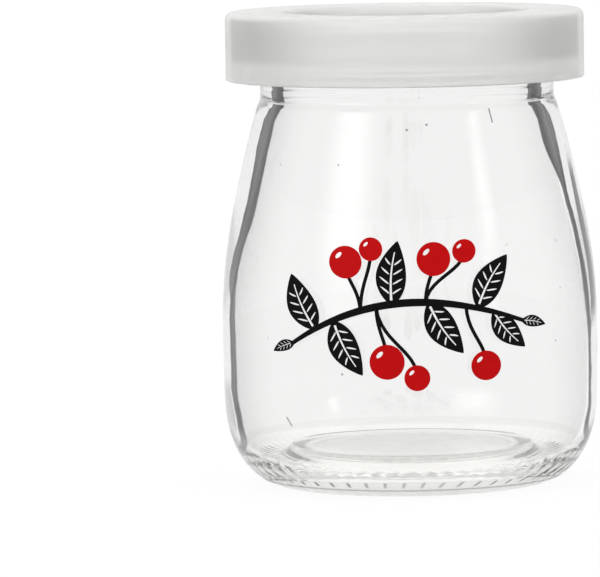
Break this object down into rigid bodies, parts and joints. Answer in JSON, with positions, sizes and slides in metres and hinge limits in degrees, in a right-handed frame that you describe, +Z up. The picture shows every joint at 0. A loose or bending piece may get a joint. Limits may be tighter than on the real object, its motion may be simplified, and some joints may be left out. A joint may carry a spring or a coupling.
{
  "type": "glass pudding bottle with lid",
  "caption": "Small clear glass pudding bottle with a round belly, a flared shoulder, a short neck and a frosted soft plastic push-on lid.",
  "frame": {"origin": "centre of the foot, on the surface the bottle stands on, at the bottom centre of the bounding box", "axes": "+Z up along the turning axis of the bottle and the lid; -Y is the front shown in the picture"},
  "size_m": [0.0592, 0.0592, 0.0745],
  "materials": {
    "clear_glass": "clear colourless soda-lime glass, smooth and glossy, with a faint grey-green tint where it is thick",
    "frosted_plastic": "translucent milky white soft polyethylene, frosted, with a soft sheen"
  },
  "bodies": {
    "root": {"bottle": "clear_glass", "lid": "frosted_plastic"}
  },
  "joints": []
}
